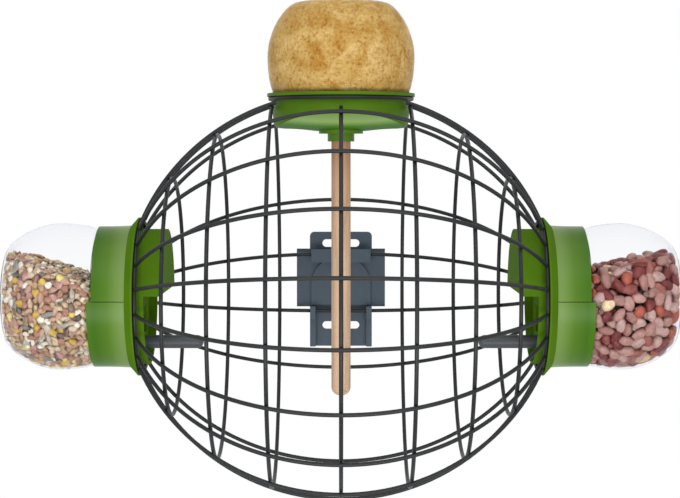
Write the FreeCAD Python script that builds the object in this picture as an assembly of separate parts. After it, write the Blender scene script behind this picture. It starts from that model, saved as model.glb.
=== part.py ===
import FreeCAD, Part
import math
import os

# Caged wall feeder, all sizes in millimetres.
# X runs along the cage, Y into the wall, Z up; the wall face is Y = 0.

V = FreeCAD.Vector
EX = V(1, 0, 0)
EY = V(0, 1, 0)
EZ = V(0, 0, 1)

# Cage
WIRE_D = 3.0
WELD_GAP = 0.05
CAGE_R = 153.2
BACK_WIRE_Y = -10.4
POLE_X = 148.5
WIRE_PITCH = 18.0
HOOP_OUTER_X = (92.0, 126.0)
TOP_HOOP_INSET = 2.0
TOP_HOOP_GAP = 0.4
CENTRE_HOOP_GAP = 2.2

# Jar, shared by all three feeders. Belly: distance from the rim and swell beyond the
# rim; shoulder: distance from the far end and swell
LIP_SWELL = 1.6
JAR_BELLY = ((8.0, 3.0), (15.0, 4.3), (25.0, 5.1), (35.0, 4.8))
JAR_SHOULDER = ((24.0, 2.4), (17.0, -0.4), (12.0, -3.2), (8.0, -6.0), (4.0, -9.6), (1.5, -12.8))
JAR_END_DROP = 17.6
JAR_LENGTH = 69.0
JAR_REST = 0.05
JAR_WALL = 1.2
JAR_FIT = 0.3
NECK_DEPTH = 4.0
FILL_GAP = 0.3

# Side feeders, measured outwards from the cage centre
FIT_GAP = 0.05
FLANGE_T = 6.25
FLANGE_EDGE = 1.2
FLANGE_REACH = 2.7
FLANGE_STEP = 0.8
SHELL_R = 52.6
SHELL_WALL = 4.7
SHELL_LENGTH = 24.1
SEAM_GAP = 0.5
COVE_RISE = 0.6
COVE_LENGTH = 18.0
LIP_WALL = 1.1
LIP_REACH = 3.4
SPIGOT_STEP = 2.0
SPIGOT_GAP = 4.4
HOOD_WALL = 2.4
HOOD_REACH = 20.55
HOOD_Z = 3.7
HOOD_ROUND = 2.5
TRAY_REACH = 7.3
SILL_RECESS = 6.0
SILL_Z = -28.0
MOUTH_HEIGHT = 20.0
MOUTH_HALF = 26.0
PERCH_DROP = 6.0
PERCH_R = 5.0
PERCH_LENGTH = 39.75
PERCH_STUB_R = 3.0
PEANUT_Z = (16.0, 36.0)
SEED_Z = (10.0, 34.0)
SLOPE_INSET = 5.0

# Top feeder
CUP_WALL = 2.5
CUP_RING_GAP = 0.9
CUP_FLANGE_REACH = 2.2
CUP_FLANGE_T = 2.4
CUP_SEAT = 1.7
CUP_DEPTH = 25.7
CUP_ROUND = 9.0
HULL_R = 100.0
HULL_LONG_R = 420.0
HULL_MARGIN = 10.0
PORT_X = 31.0
PORT_R = 12.0
DOWEL_R = 7.2
DOWEL_LENGTH = 196.9
DOWEL_ROUND = 6.4
DOWEL_DEPTH = 6.5
SOCKET_WALL = 2.8
SOCKET_DROP = 7.4
STEP_WALL = 6.5
STEP_DROP = 1.6

# Wall bracket
PLATE_T = 4.0
TAB_X = 26.0
WING_X = 37.0
BRACKET_TOP_Z = 41.9
WING_TOP_Z = 27.7
WING_BOTTOM_Z = -20.8
BRACKET_BOTTOM_Z = -54.1
CORNER_R = 3.8
SLOT_LENGTH = 31.0
SLOT_WIDTH = 6.5
SLOT_Z = (32.4, -36.6)
BODY_X = 24.7
BODY_GAP = 1.4
BODY_BOTTOM_Z = -19.0
HOOK_GAP = 0.3
HOOK_DEPTH = 5.0
HOOK_RISE = 6.0
HOOK_LIP_T = 2.6
HOOP_SLOT_X = 4.0
RAIL_X0 = 21.2
RAIL_X1 = 25.7
RAIL_RISE = 5.75
RAIL_LIP_GAP = 1.8

# Side feeder: each piece follows the collar and the pole ring
WIRE_R = WIRE_D / 2.0
HOOD_R = SHELL_R - SPIGOT_STEP
SHELL_BORE = SHELL_R - SHELL_WALL
LIP_BORE = SHELL_R - LIP_WALL
NECK_R = SHELL_BORE - JAR_FIT
JAR_RIM_R = LIP_BORE - JAR_FIT - LIP_SWELL
POLE_R = HOOD_R + SPIGOT_GAP + WIRE_R
FLANGE_R0 = POLE_R + FLANGE_REACH
FLANGE_R1 = SHELL_R + FLANGE_STEP
FLANGE_X0 = POLE_X + WIRE_R + FIT_GAP
FLANGE_X1 = FLANGE_X0 + FLANGE_T
SHELL_UPPER_X = FLANGE_X1 + SHELL_LENGTH
SHELL_LOWER_X = SHELL_UPPER_X + LIP_REACH
HOOD_X = FLANGE_X0 - HOOD_REACH
TRAY_X = FLANGE_X0 - TRAY_REACH
SILL_X = TRAY_X + SILL_RECESS
MOUTH_TOP_Z = SILL_Z + MOUTH_HEIGHT
PERCH_Z = SILL_Z - PERCH_DROP
PERCH_X = TRAY_X - PERCH_LENGTH
FILL_X0 = SILL_X + HOOD_WALL + FILL_GAP

# Top feeder: the ring follows the cup, the cup follows the jar neck
CUP_R = SHELL_BORE + CUP_WALL
TOP_RING_R = CUP_R + CUP_RING_GAP + WIRE_R
CUP_FLANGE_R = TOP_RING_R + CUP_FLANGE_REACH
SOCKET_R = DOWEL_R + SOCKET_WALL
STEP_R = SOCKET_R + STEP_WALL
HOOP_X = (0.0, TOP_RING_R - TOP_HOOP_INSET) + HOOP_OUTER_X

# Arc of the long wires, through the equator and the pole ring
HALF_PITCH = math.radians(WIRE_PITCH / 2.0)
CAGE_Y = BACK_WIRE_Y - CAGE_R * math.cos(HALF_PITCH)
DROP = CAGE_R - POLE_R
ARC_R = (DROP * DROP + POLE_X * POLE_X) / (2.0 * DROP)
ARC_C = CAGE_R - ARC_R
ARC_END = math.asin(POLE_X / ARC_R) - (WIRE_R + WELD_GAP) / ARC_R
CENTRE = V(0, CAGE_Y, 0)


def wire_radius(x):
    """Distance of a long wire's centre line from the cage axis."""
    return ARC_C + math.sqrt(ARC_R * ARC_R - x * x)


# Hooks and rails: each follows the back wire that it holds
BODY_Y = BACK_WIRE_Y + WIRE_R + BODY_GAP
HOOK_LEDGE_Z = wire_radius(BODY_X) * math.sin(HALF_PITCH) - WIRE_R - HOOK_GAP
HOOK_TOP_Z = HOOK_LEDGE_Z + HOOK_RISE
HOOK_LIP_Y = CAGE_Y + wire_radius(BODY_X) * math.cos(HALF_PITCH) - WIRE_R - HOOK_GAP
HOOK_FRONT_Y = HOOK_LIP_Y - HOOK_LIP_T
RAIL_Y = CAGE_Y + wire_radius(RAIL_X0) * math.cos(HALF_PITCH) + WIRE_R + HOOK_GAP
RAIL_LEDGE_Z = -wire_radius(RAIL_X0) * math.sin(HALF_PITCH) - WIRE_R - HOOK_GAP
RAIL_LIP_Z = RAIL_LEDGE_Z + RAIL_RISE
RAIL_LIP_Y = CAGE_Y + wire_radius(RAIL_X1) * math.cos(HALF_PITCH) - WIRE_R - RAIL_LIP_GAP
RAIL_FRONT_Y = RAIL_LIP_Y - HOOK_LIP_T
WIDE = 2.0 * (CAGE_R + POLE_X + JAR_LENGTH)


def box(x0, x1, y0, y1, z0, z1):
    """Box between two corners."""
    return Part.makeBox(x1 - x0, y1 - y0, z1 - z0, V(x0, y0, z0))


def radial(angle):
    """Unit vector in the YZ plane; 0 faces the viewer, 90 points up."""
    a = math.radians(angle)
    return V(0, -math.cos(a), math.sin(a))


def arc_wire(angle, start, end):
    """Long wire at one angle, swept from start to end (radians from the equator)."""
    out = radial(angle)
    centre = CENTRE + out * ARC_C
    point = centre + out * (ARC_R * math.cos(start)) + EX * (ARC_R * math.sin(start))
    along = EX * math.cos(start) - out * math.sin(start)
    disc = Part.Face(Part.Wire(Part.makeCircle(WIRE_R, point, along)))
    return disc.revolve(centre, out.cross(EX), math.degrees(end - start))


def hoop_radius(x):
    """Radius of a hoop that touches the long wires from inside."""
    inner = ARC_R - WIRE_D - WELD_GAP
    return ARC_C + math.sqrt(inner * inner - x * x)


def hoop(x, gap_half):
    """Hoop in the plane at x; gap_half is half its opening at the top in degrees."""
    radius = hoop_radius(x)
    centre = V(x, CAGE_Y, 0)
    if gap_half <= 0:
        return Part.makeTorus(radius, WIRE_R, centre, EX)
    start = 90.0 + gap_half
    out = radial(start)
    along = EX.cross(out)
    disc = Part.Face(Part.Wire(Part.makeCircle(WIRE_R, centre + out * radius, along)))
    return disc.revolve(centre, EX, -(360.0 - 2.0 * gap_half))


def arc_point(angle, swing):
    """Point on the centre line of a long wire."""
    out = radial(angle)
    return CENTRE + out * (ARC_C + ARC_R * math.cos(swing)) + EX * (ARC_R * math.sin(swing))


def top_ring_height(angle):
    """Height at which the top ring just clears the wire below it."""
    low = CAGE_R - 25.0
    high = CAGE_R + 10.0
    for _ in range(40):
        mid = 0.5 * (low + high)
        near = 1e9
        for i in range(400):
            p = arc_point(angle, 0.15 + 0.0006 * i)
            flat = math.hypot(p.x, p.y - CAGE_Y) - TOP_RING_R
            near = min(near, math.hypot(flat, p.z - mid))
        if near < WIRE_D + WELD_GAP:
            low = mid
        else:
            high = mid
    return high


def top_wire_end(angle):
    """Swing at which a top wire reaches the ring's centre line."""
    low = 0.05
    high = ARC_END
    for _ in range(40):
        mid = 0.5 * (low + high)
        p = arc_point(angle, mid)
        if math.hypot(p.x, p.y - CAGE_Y) < TOP_RING_R:
            low = mid
        else:
            high = mid
    return high


def turned(points, origin, axis_dir, out_dir):
    """Solid of revolution of (distance along axis, radius) points about an axis."""
    corners = [origin + axis_dir * a + out_dir * r for a, r in points]
    face = Part.Face(Part.makePolygon(corners + corners[:1]))
    return face.revolve(origin, axis_dir, 360.0)


def jar_points(offset):
    """Outside line of the jar body as (distance, radius), moved in by offset along its normal."""
    line = [(JAR_REST, JAR_RIM_R), (LIP_REACH, JAR_RIM_R + LIP_SWELL)]
    line += [(h, JAR_RIM_R + swell) for h, swell in JAR_BELLY]
    line += [(JAR_LENGTH - d, JAR_RIM_R + swell) for d, swell in JAR_SHOULDER]
    line.append((JAR_LENGTH, JAR_RIM_R - JAR_END_DROP))
    moved = []
    for before, here, after in zip(line[:1] + line, line, line[1:] + line[-1:]):
        along = after[0] - before[0]
        out = after[1] - before[1]
        length = math.hypot(along, out)
        moved.append((here[0] + offset * out / length, here[1] - offset * along / length))
    moved[0] = (JAR_REST + offset, line[0][1] - offset)
    moved[-1] = (JAR_LENGTH - offset, line[-1][1] - offset)
    return moved


def jar_solid(offset, start_h, start_r, origin, axis_dir, out_dir):
    """Filled jar shape moved in by offset: neck of start_r, rim, swelling body, flat end."""

    def at(h, r):
        return origin + axis_dir * h + out_dir * r

    side = [at(h, r) for h, r in jar_points(offset)]
    body = Part.BSplineCurve()
    body.interpolate(side)
    end = at(JAR_LENGTH - offset, 0)
    corners = [at(start_h, 0), at(start_h, start_r), at(JAR_REST + offset, start_r), side[0]]
    edges = [Part.makeLine(p, q) for p, q in zip(corners, corners[1:])]
    edges += [body.toShape(), Part.makeLine(side[-1], end), Part.makeLine(end, corners[0])]
    face = Part.Face(Part.Wire(edges))
    return face.revolve(origin, axis_dir, 360.0)


def jar(origin, axis_dir, out_dir):
    """Clear jar with an open neck."""
    outside = jar_solid(0.0, -NECK_DEPTH, NECK_R, origin, axis_dir, out_dir)
    inside = jar_solid(JAR_WALL, -NECK_DEPTH - 1.0, NECK_R - JAR_WALL, origin, axis_dir, out_dir)
    return outside.cut(inside)


def half(shape, above, z):
    """Keeps what lies above or below a height."""
    low, high = (z, WIDE) if above else (-WIDE, z)
    return shape.common(box(-WIDE, WIDE, -WIDE, WIDE, low, high))


def tube(x0, x1, outer, inner):
    """Tube on the cage axis between two distances from the centre, on the +X side."""
    at = V(x0, CAGE_Y, 0)
    body = Part.makeCylinder(outer, x1 - x0, at, EX)
    if inner > 0:
        body = body.cut(Part.makeCylinder(inner, x1 - x0 + 2.0, at - EX, EX))
    return body


def side_flange():
    """Cone-shaped flange that bears on the outside of the pole ring."""
    points = ((FLANGE_X0, HOOD_R + FIT_GAP), (FLANGE_X0, FLANGE_R0), (FLANGE_X0 + FLANGE_EDGE, FLANGE_R0),
              (FLANGE_X1, FLANGE_R1), (FLANGE_X1, HOOD_R + FIT_GAP))
    return turned(points, CENTRE, EX, EZ)


def collar(x0, x1):
    """Tube round the jar's neck whose outside sweeps up to the flange in a slow cove."""

    def at(x, r):
        return CENTRE + EX * x + EZ * r

    crest = at(x0, SHELL_R + COVE_RISE)
    middle = at(x0 + COVE_LENGTH / 2.0, SHELL_R + COVE_RISE / 4.0)
    foot = at(x0 + COVE_LENGTH, SHELL_R)
    corners = (foot, at(x1, SHELL_R), at(x1, SHELL_BORE), at(x0, SHELL_BORE), crest)
    edges = [Part.Arc(crest, middle, foot).toShape()]
    edges += [Part.makeLine(a, b) for a, b in zip(corners, corners[1:])]
    return Part.Face(Part.Wire(edges)).revolve(CENTRE, EX, 360)


def side_shell(upper):
    """Half of the collar that holds the jar; the lower half reaches further out."""
    start = FLANGE_X1 + FIT_GAP
    if upper:
        return half(collar(start, SHELL_UPPER_X), True, SEAM_GAP / 2.0)
    lower = collar(start, SHELL_LOWER_X)
    lower = lower.cut(tube(SHELL_UPPER_X, SHELL_LOWER_X + 1.0, LIP_BORE, 0))
    return half(lower, False, -SEAM_GAP / 2.0)


def side_hood():
    """Roof over the feeding mouth, closed towards the cage and open below."""
    outside = tube(HOOD_X, FLANGE_X1, HOOD_R, 0)
    inside = tube(HOOD_X + HOOD_WALL, FLANGE_X1 + 1.0, HOOD_R - HOOD_WALL, 0)
    low_z = HOOD_Z + FIT_GAP
    hood = half(outside.cut(inside), True, low_z)
    corner = box(HOOD_X - 1.0, HOOD_X + HOOD_ROUND, CAGE_Y - HOOD_R, CAGE_Y + HOOD_R,
                 low_z - 1.0, low_z + HOOD_ROUND)
    rounding = Part.makeCylinder(HOOD_ROUND, 2.0 * HOOD_R,
                                 V(HOOD_X + HOOD_ROUND, CAGE_Y - HOOD_R, low_z + HOOD_ROUND), EY)
    return hood.cut(corner.cut(rounding))


def side_tray():
    """Lower half of the spigot: a scoop with a sill, set back from its edge, in front of the food."""
    outside = tube(TRAY_X, FLANGE_X1, HOOD_R, 0)
    inside = tube(SILL_X + HOOD_WALL, FLANGE_X1 + 1.0, HOOD_R - HOOD_WALL, 0)
    scoop = tube(TRAY_X - 1.0, SILL_X, HOOD_R - HOOD_WALL, 0)
    tray = half(outside.cut(inside).cut(scoop), False, HOOD_Z)
    mouth = box(SILL_X - 1, SILL_X + HOOD_WALL + 0.5, CAGE_Y - MOUTH_HALF, CAGE_Y + MOUTH_HALF,
                SILL_Z, MOUTH_TOP_Z)
    hole = Part.makeCylinder(PERCH_STUB_R + FIT_GAP, HOOD_WALL + 2.0,
                             V(SILL_X - 1, CAGE_Y, PERCH_Z), EX)
    return tray.cut(mouth).cut(hole)


def side_perch():
    """Round perch with a domed end and a stub through the tray wall."""
    root = SILL_X - FIT_GAP
    at = V(PERCH_X + PERCH_R, CAGE_Y, PERCH_Z)
    rod = Part.makeCylinder(PERCH_R, root - PERCH_X - PERCH_R, at, EX)
    rod = rod.fuse(Part.makeSphere(PERCH_R, at))
    stub = Part.makeCylinder(PERCH_STUB_R, HOOD_WALL + 0.5, V(root - 0.5, CAGE_Y, PERCH_Z), EX)
    return rod.fuse(stub).removeSplitter()


def side_fill(near_z, far_z):
    """Loose food: sloping top in the jar and a slope behind the sill."""
    origin = CENTRE + EX * SHELL_UPPER_X
    bulk = jar_solid(JAR_WALL + FILL_GAP, FILL_X0 - SHELL_UPPER_X,
                     NECK_R - JAR_WALL - FILL_GAP, origin, EX, EZ)
    end_x = SHELL_UPPER_X + JAR_LENGTH
    foot_z = SILL_Z - FIT_GAP
    outline = ((FILL_X0 - 1.0, -WIDE), (FILL_X0 - 1.0, foot_z), (FILL_X0 + 1.0, foot_z),
               (SHELL_UPPER_X - SLOPE_INSET, near_z), (end_x, far_z), (end_x, -WIDE))
    corners = [V(x, CAGE_Y - WIDE, z) for x, z in outline]
    keep = Part.Face(Part.makePolygon(corners + corners[:1])).extrude(EY * (2.0 * WIDE))
    return bulk.common(keep)


def hull(bottom_z, offset):
    """Barrel-shaped solid whose lowest part is the underside of the top cup."""
    origin = V(0, CAGE_Y, bottom_z + HULL_R)
    reach = CUP_R + HULL_MARGIN
    sag = HULL_LONG_R - math.sqrt(HULL_LONG_R * HULL_LONG_R - reach * reach)
    top = HULL_R + offset
    arc = Part.Arc(origin + V(-reach, 0, top - sag), origin + V(0, 0, top),
                   origin + V(reach, 0, top - sag)).toShape()
    left = Part.makeLine(origin + V(-reach, 0, 0), origin + V(-reach, 0, top - sag))
    right = Part.makeLine(origin + V(reach, 0, top - sag), origin + V(reach, 0, 0))
    base = Part.makeLine(origin + V(reach, 0, 0), origin + V(-reach, 0, 0))
    return Part.Face(Part.Wire([left, arc, right, base])).revolve(origin, EX, 360.0)


def top_cup(rest_z):
    """Cup that hangs in the top ring by its flange, with two feeding ports below."""
    bottom_z = rest_z - CUP_DEPTH
    seat_z = rest_z + CUP_FLANGE_T - CUP_SEAT
    low = V(0, CAGE_Y, bottom_z)
    drum = Part.makeCylinder(CUP_R, CUP_DEPTH + CUP_FLANGE_T / 2.0, low)
    rim = [edge for edge in drum.Edges if edge.BoundBox.ZMax < bottom_z + FIT_GAP]
    outside = drum.makeFillet(CUP_ROUND, rim).common(hull(bottom_z, 0.0))
    flange = Part.makeCylinder(CUP_FLANGE_R, CUP_FLANGE_T, V(0, CAGE_Y, rest_z))
    inside = Part.makeCylinder(SHELL_BORE, CUP_DEPTH + 2.0 * CUP_FLANGE_T, low)
    seat = Part.makeCylinder(LIP_BORE, 2.0 * CUP_SEAT, V(0, CAGE_Y, seat_z))
    cup = outside.fuse(flange).cut(inside.common(hull(bottom_z, -CUP_WALL))).cut(seat).removeSplitter()
    for side in (-1, 1):
        port = Part.makeCylinder(PORT_R, CUP_DEPTH, V(side * PORT_X, CAGE_Y, bottom_z - CUP_WALL))
        cup = cup.cut(port)
    return cup


def top_socket(bottom_z):
    """Boss under the cup that holds the wooden perch."""
    step_z = bottom_z - STEP_DROP
    socket_z = bottom_z - SOCKET_DROP
    step = Part.makeCylinder(STEP_R, CUP_DEPTH, V(0, CAGE_Y, step_z)).cut(hull(bottom_z, FIT_GAP))
    stem = Part.makeCylinder(SOCKET_R, step_z - socket_z + STEP_DROP / 2.0, V(0, CAGE_Y, socket_z))
    hole = Part.makeCylinder(DOWEL_R + FIT_GAP, DOWEL_DEPTH + FIT_GAP + 1.0, V(0, CAGE_Y, socket_z - 1.0))
    return step.fuse(stem).cut(hole).removeSplitter()


def dowel(top_z):
    """Round wooden perch hanging in the cage, with a rounded lower end."""
    end_z = top_z - DOWEL_LENGTH
    rod = Part.makeCylinder(DOWEL_R, DOWEL_LENGTH, V(0, CAGE_Y, end_z))
    rim = [e for e in rod.Edges if e.BoundBox.ZMax < end_z + FIT_GAP]
    return rod.makeFillet(DOWEL_ROUND, rim)


def bracket():
    """Wall plate with two screw slots and two pairs of open hooks for the back wires."""
    plate = box(-TAB_X, TAB_X, -PLATE_T, 0, 0, BRACKET_TOP_Z)
    plate = plate.fuse(box(-WING_X, WING_X, -PLATE_T, 0, WING_BOTTOM_Z, WING_TOP_Z))
    plate = plate.fuse(box(-TAB_X, TAB_X, -PLATE_T, 0, BRACKET_BOTTOM_Z, 0))
    plate = plate.removeSplitter()
    corners = []
    for edge in plate.Edges:
        middle = edge.BoundBox.Center
        along_y = edge.BoundBox.YLength > PLATE_T - 0.1
        if along_y and abs(middle.z - BRACKET_TOP_Z) < 0.1:
            corners.append(edge)
    plate = plate.makeFillet(CORNER_R, corners)
    for z in SLOT_Z:
        reach = (SLOT_LENGTH - SLOT_WIDTH) / 2.0
        slot = box(-reach, reach, -PLATE_T - 1, 1, z - SLOT_WIDTH / 2, z + SLOT_WIDTH / 2)
        for side in (-1, 1):
            end = Part.makeCylinder(SLOT_WIDTH / 2, PLATE_T + 2, V(side * reach, -PLATE_T - 1, z), EY)
            slot = slot.fuse(end)
        plate = plate.cut(slot)
    root_y = -PLATE_T / 2.0
    body = box(-BODY_X, BODY_X, BODY_Y, root_y, BODY_BOTTOM_Z, HOOK_LEDGE_Z)
    arch = Part.makeCylinder(BODY_X, -2.0 * BODY_Y, V(0, 2.0 * BODY_Y, HOOK_LEDGE_Z - BODY_X), EY)
    foot = box(-BODY_X, BODY_X, 2.0 * BODY_Y, 0, BODY_BOTTOM_Z, HOOK_LEDGE_Z - BODY_X)
    shapes = [body.common(arch.fuse(foot))]
    hook_z = HOOK_LEDGE_Z - HOOK_DEPTH
    rail_z = RAIL_LEDGE_Z - HOOK_DEPTH
    for side in (-1, 1):
        x0, x1 = sorted((side * HOOP_SLOT_X, side * BODY_X))
        shapes.append(box(x0, x1, HOOK_FRONT_Y, root_y, hook_z, HOOK_LEDGE_Z))
        shapes.append(box(x0, x1, HOOK_FRONT_Y, HOOK_LIP_Y, hook_z, HOOK_TOP_Z))
        x0, x1 = sorted((side * RAIL_X0, side * RAIL_X1))
        shapes.append(box(x0, x1, RAIL_Y, root_y, BRACKET_BOTTOM_Z, WING_BOTTOM_Z))
        shapes.append(box(x0, x1, RAIL_FRONT_Y, root_y, rail_z, RAIL_LEDGE_Z))
        shapes.append(box(x0, x1, RAIL_FRONT_Y, RAIL_LIP_Y, rail_z, RAIL_LIP_Z))
    solid = plate
    for shape in shapes:
        solid = solid.fuse(shape)
    return solid.removeSplitter()


def mirrored(shape):
    """The same shape on the other side of the middle plane."""
    return shape.mirror(V(0, 0, 0), EX)


def build():
    """All parts by name."""
    parts = {}
    for k in range(8):
        parts["wire_front_%d" % (k + 1)] = arc_wire((3.5 - k) * WIRE_PITCH, -ARC_END, ARC_END)
    for k, place in enumerate((0, 2, 3, 4, 5, 7)):
        parts["wire_back_%d" % (k + 1)] = arc_wire(180.0 - (3.5 - place) * WIRE_PITCH, -ARC_END, ARC_END)
    parts["wire_bottom"] = arc_wire(-90.0, -ARC_END, ARC_END)
    for name, angle in (("front", 4.5 * WIRE_PITCH), ("back", 180.0 - 4.5 * WIRE_PITCH)):
        stop = top_wire_end(angle)
        parts["wire_top_%s_left" % name] = arc_wire(angle, -ARC_END, -stop)
        parts["wire_top_%s_right" % name] = arc_wire(angle, stop, ARC_END)
    for k, x in enumerate(HOOP_X):
        if k == 0:
            reach = TOP_RING_R + CENTRE_HOOP_GAP
            parts["hoop_centre"] = hoop(0.0, math.degrees(math.asin(reach / hoop_radius(x))))
            continue
        gap = 0.0
        if k == 1:
            reach = math.sqrt(TOP_RING_R * TOP_RING_R - x * x) + TOP_HOOP_GAP
            gap = math.degrees(math.asin(reach / hoop_radius(x)))
        parts["hoop_left_%d" % k] = hoop(-x, gap)
        parts["hoop_right_%d" % k] = hoop(x, gap)
    ring_z = top_ring_height(4.5 * WIRE_PITCH)
    parts["ring_top"] = Part.makeTorus(TOP_RING_R, WIRE_R, V(0, CAGE_Y, ring_z), EZ)
    parts["ring_left"] = Part.makeTorus(POLE_R, WIRE_R, V(-POLE_X, CAGE_Y, 0), EX)
    parts["ring_right"] = Part.makeTorus(POLE_R, WIRE_R, V(POLE_X, CAGE_Y, 0), EX)

    rest_z = ring_z + WIRE_R + FIT_GAP
    parts["top_cup"] = top_cup(rest_z)
    bottom_z = rest_z - CUP_DEPTH
    parts["top_socket"] = top_socket(bottom_z)
    parts["dowel"] = dowel(bottom_z - SOCKET_DROP + DOWEL_DEPTH)
    top_rim = V(0, CAGE_Y, rest_z + CUP_FLANGE_T - CUP_SEAT)
    parts["top_jar"] = jar(top_rim, EZ, EX)
    parts["suet"] = jar_solid(JAR_WALL + FILL_GAP, -NECK_DEPTH + 1.0, NECK_R - JAR_WALL - FILL_GAP,
                              top_rim, EZ, EX)

    side_rim = CENTRE + EX * SHELL_UPPER_X
    right = {
        "flange": side_flange(),
        "shell_upper": side_shell(True),
        "shell_lower": side_shell(False),
        "hood": side_hood(),
        "tray": side_tray(),
        "perch": side_perch(),
        "jar": jar(side_rim, EX, EZ),
    }
    for name, shape in right.items():
        parts["right_" + name] = shape
        parts["left_" + name] = mirrored(shape)
    parts["right_peanuts"] = side_fill(*PEANUT_Z)
    parts["left_seed"] = mirrored(side_fill(*SEED_Z))
    parts["wall_bracket"] = bracket()
    return parts


def main():
    """Writes one STEP file for each part."""
    os.makedirs("parts", exist_ok=True)
    for name, shape in build().items():
        if shape.ShapeType == "Compound" and len(shape.Solids) == 1:
            shape = shape.Solids[0]
        if not shape.isValid() or len(shape.Solids) != 1:
            raise RuntimeError("bad shape: %s (%d solids)" % (name, len(shape.Solids)))
        shape.exportStep(os.path.join("parts", name + ".step"))


main()
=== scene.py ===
import math

import bpy
import numpy as np
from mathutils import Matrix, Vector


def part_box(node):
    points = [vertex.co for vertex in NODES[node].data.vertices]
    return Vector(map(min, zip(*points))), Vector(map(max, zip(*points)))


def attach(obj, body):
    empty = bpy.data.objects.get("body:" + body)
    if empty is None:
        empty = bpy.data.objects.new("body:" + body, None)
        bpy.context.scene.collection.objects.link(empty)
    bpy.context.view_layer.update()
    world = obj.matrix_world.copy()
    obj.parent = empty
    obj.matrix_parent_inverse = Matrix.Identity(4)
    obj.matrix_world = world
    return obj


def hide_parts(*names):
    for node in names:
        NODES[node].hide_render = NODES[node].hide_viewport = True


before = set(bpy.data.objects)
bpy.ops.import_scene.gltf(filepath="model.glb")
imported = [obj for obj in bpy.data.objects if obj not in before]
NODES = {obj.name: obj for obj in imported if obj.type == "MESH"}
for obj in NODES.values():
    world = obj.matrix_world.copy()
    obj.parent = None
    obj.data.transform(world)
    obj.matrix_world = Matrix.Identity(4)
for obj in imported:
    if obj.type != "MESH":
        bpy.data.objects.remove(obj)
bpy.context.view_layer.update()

bl_info = {
    "name": "Caged bird feeder",
    "version": (1, 0, 0),
    "blender": (4, 5, 0),
    "location": "View3D > Sidebar > Feeder",
    "description": "Dresses a wall-mounted caged bird feeder with jars of food",
    "category": "Object",
}

WHITE = (1.0, 1.0, 1.0, 1.0)
MM_PER_M = 1000.0
LEFT = -1.0
RIGHT = 1.0

# The cage's middle and the jars in metres, as the solids have them. A jar's line is its
# inner wall as (distance h from the rim, radius r).
CAGE_Y = -0.16171
NECK_DEPTH = 0.004
JAR_RIM_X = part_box("right_jar")[0][0] + NECK_DEPTH
JAR_RIM_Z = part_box("top_jar")[0][2] + NECK_DEPTH
JAR_INSIDE = np.array([(-35.0, 46.2), (0.4, 46.2), (1.2, 48.4), (3.85, 50.1), (8.3, 51.4), (15.2, 52.7),
                       (25.0, 53.5), (34.8, 53.2), (44.6, 50.9), (51.5, 48.1), (56.4, 45.4), (60.3, 42.7),
                       (64.1, 39.2), (66.4, 36.3), (67.8, 30.8)]) / MM_PER_M
JAR_END_H = 0.0678
JAR_END_R = 0.0305
JAR_MEAN_R = 0.05
COLLAR_X = (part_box("right_shell_lower")[0][0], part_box("right_shell_lower")[1][0])

# Top of the loose food: up from the sill to the slope's foot, then on to the jar's end
TRAY_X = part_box("right_peanuts")[0][0]
SILL_Z = -0.0285
SLOPE_FOOT_X = 0.1754
SLOPE_LEAD = 0.005
SLOPE_RUN = JAR_END_H + 0.007
MOUTH_R = 0.0455
SLOPE_NORMAL = (-0.28, 0.0, 0.96)
SILL_NORMAL = (-0.7, 0.0, 0.7)

# Food wets the wall by half its thickness and stays clear of it in the neck. LEAST_R keeps a point
# on the axis from being divided by nothing.
FOOD_WET = 0.0006
WET_FROM_H = 0.004
NECK_CLEAR = 0.0001
LEAST_R = 1e-6

# How closely a layer's rows lie and how far its places stray, as shares of the spacing
WALL_PACK = 0.86
GRID_PACK = 0.92
SLOPE_PACK = 0.9
SILL_PACK = 0.7
WALL_STRAY = 0.12
GRID_STRAY = 0.15
HEIGHT_STRAY = 0.2

# Where the wall's layer starts, and how deep the slope's layer lies as a share of the inset
WALL_START_H = -0.002
SLOPE_SINK = 0.9

# How far a kernel is tipped, the width of its groove in radians, and the highest tone that picks a colour
TIP_STRAY = 0.16
GROOVE_WIDTH = 0.5
TONE_TOP = 0.999

# Inside of a heap, in rows along the axis and columns round it
CORE_ROWS = 34
CORE_COLS = 48
CORE_POLE_Z = -0.03

# Suet as (h, r) where it starts and leaves the neck, and its rows and columns
SUET_START = (-0.0029, 0.0459)
SUET_NECK = (0.0004, 0.0459)
SUET_ROWS = 60
SUET_COLS = 96

# Seeds and peanuts: start of the random draws, depth of the first layer in the heap, of the second as a
# multiple, and of the core. A form is how a kernel's size spreads, how lumpy it is, how many numbers are
# drawn for its lumps, and its mesh. Peanuts have a wider spacing in the second layer, half sizes in mm,
# and a share without skin.
SEED_DRAW = 11
SEED_INSET = 0.0017
SEED_BEHIND = 2.2
SEED_CORE = 0.0042
SEED_FORM = {"spread": (0.75, 1.2), "lump": 0.13, "draws": 40, "rows": 5, "cols": 7}
NUT_DRAW = 5
NUT_INSET = 0.0034
NUT_BEHIND = 2.4
NUT_SPREAD = 1.25
NUT_CORE = 0.0095
NUT_FORM = {"spread": (0.85, 1.1), "lump": 0.025, "draws": 60, "rows": 6, "cols": 9}
NUT_HALVES = (6.2, 4.1, 3.6)
NUT_TAPER = 0.16
NUT_DENT = 0.05
BARE_SHARE = 0.025

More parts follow.
